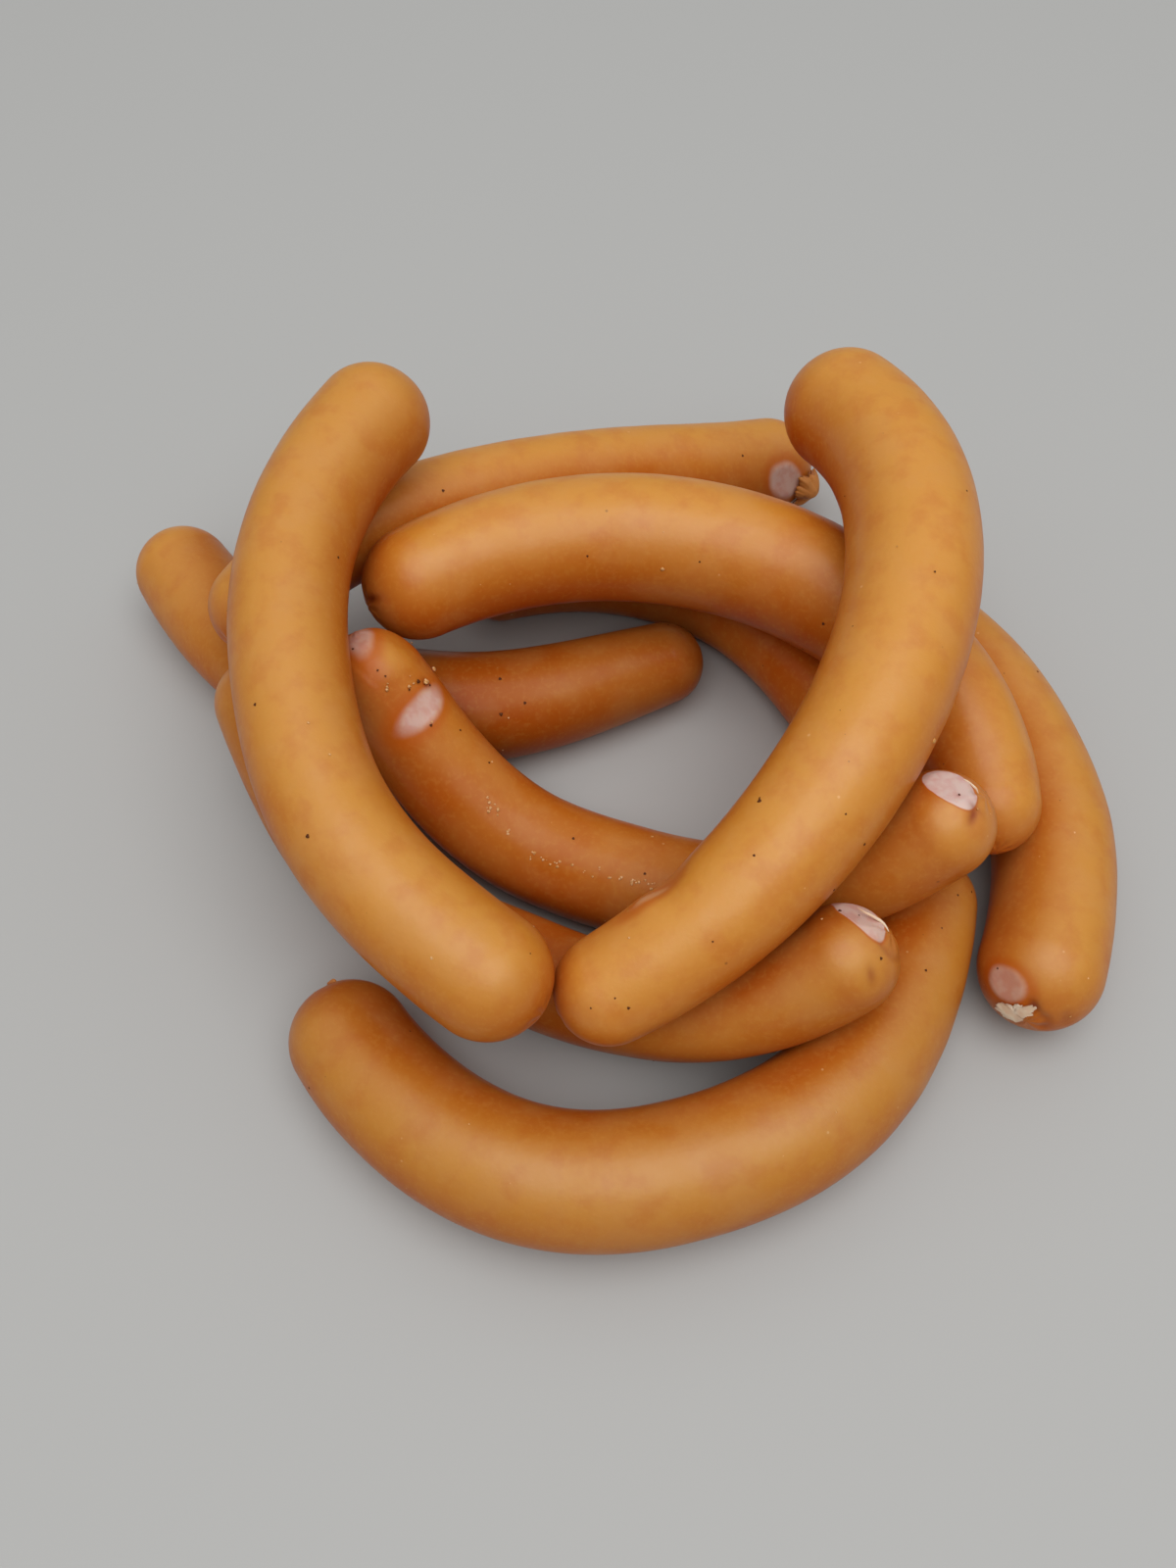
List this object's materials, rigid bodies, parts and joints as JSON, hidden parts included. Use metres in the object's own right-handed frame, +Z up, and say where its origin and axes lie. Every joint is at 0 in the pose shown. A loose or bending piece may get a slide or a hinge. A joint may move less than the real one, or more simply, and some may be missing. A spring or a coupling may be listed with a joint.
{
  "type": "heap of sausage links",
  "caption": "Loose ring-shaped heap of plump, curved, smoked sausage links lying across one another around an open middle, with scraps of torn casing at link ends.",
  "frame": {"origin": "middle of the heap's footprint, on the surface it lies on", "axes": "+Z up, +X to the right and -Y to the front, where the long curved front link lies"},
  "size_m": [0.2596, 0.2446, 0.0872],
  "materials": {
    "smoked_skin": "smooth golden smoked casing, satin, redder between the links, with pale spots where links touched",
    "torn_casing": "thin dry pale casing, matt, ragged"
  },
  "bodies": {
    "root": {"left_low_link": "smoked_skin", "inner_low_link": "smoked_skin", "front_link": "smoked_skin", "right_link": "smoked_skin", "back_link": "smoked_skin", "back_upper_link": "smoked_skin", "middle_link": "smoked_skin", "middle_front_link": "smoked_skin", "top_right_link": "smoked_skin", "top_left_link": "smoked_skin", "right_link_casing": "torn_casing", "back_link_casing": "torn_casing"}
  },
  "joints": []
}
